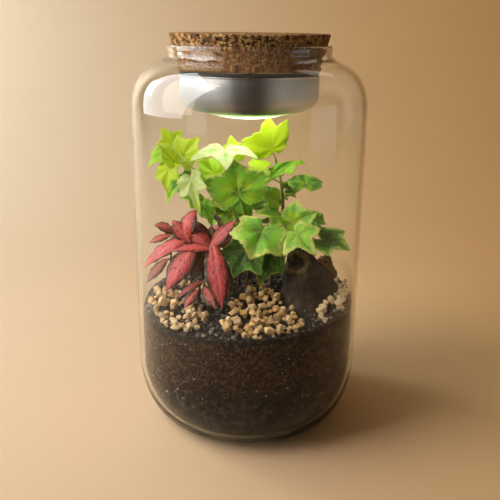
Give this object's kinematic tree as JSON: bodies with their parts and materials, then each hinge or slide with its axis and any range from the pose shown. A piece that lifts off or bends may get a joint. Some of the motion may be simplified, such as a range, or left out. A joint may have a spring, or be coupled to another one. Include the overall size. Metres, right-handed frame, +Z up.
{
  "type": "glass plant terrarium",
  "caption": "Closed glass jar terrarium with ivy, a red mosaic plant, gravel and a rock on layered soil, under a cork stopper that carries a round lamp.",
  "frame": {"origin": "centre of the jar's foot ring, on the surface that the jar stands on", "axes": "+X to the right and +Y away from the viewer as the picture shows it, +Z up along the jar's axis"},
  "size_m": [0.175, 0.175, 0.3],
  "materials": {
    "glass": "polished",
    "cork": "matte",
    "aluminium": "satin",
    "black_plastic": "matte",
    "lamp_lens": "satin",
    "circuit_board": "satin",
    "battery_wrap": "satin",
    "steel_screw": "satin",
    "red_lead": "satin",
    "black_lead": "satin",
    "drainage": "matte",
    "soil": "matte",
    "charcoal": "matte",
    "gravel": "matte",
    "rock": "matte",
    "moss": "matte",
    "ivy_leaf": "satin",
    "mosaic_leaf": "satin"
  },
  "bodies": {
    "root": {"glass_jar": "glass", "cork_stopper": "cork", "lamp_back_plate": "black_plastic", "lamp_screw_1": "steel_screw", "lamp_screw_2": "steel_screw", "lamp_screw_3": "steel_screw", "lamp_shell": "aluminium", "lamp_diffuser": "lamp_lens", "led_board": "circuit_board", "battery_pack": "battery_wrap", "battery_lead_red": "red_lead", "battery_lead_black": "black_lead", "drainage_layer": "drainage", "soil": "soil", "top_dressing": "charcoal", "gravel_left": "gravel", "gravel_front": "gravel", "gravel_right": "gravel", "gravel_back_left": "gravel", "gravel_back_right": "gravel", "rock": "rock", "moss_patch": "moss", "ivy_left": "ivy_leaf", "ivy_middle": "ivy_leaf", "ivy_tall": "ivy_leaf", "ivy_front": "ivy_leaf", "ivy_right": "ivy_leaf", "ivy_back": "ivy_leaf", "mosaic_plant_front": "mosaic_leaf", "mosaic_plant_left": "mosaic_leaf", "mosaic_plant_far_left": "mosaic_leaf", "mosaic_plant_low": "mosaic_leaf", "mosaic_plant_back": "mosaic_leaf"}
  },
  "joints": []
}
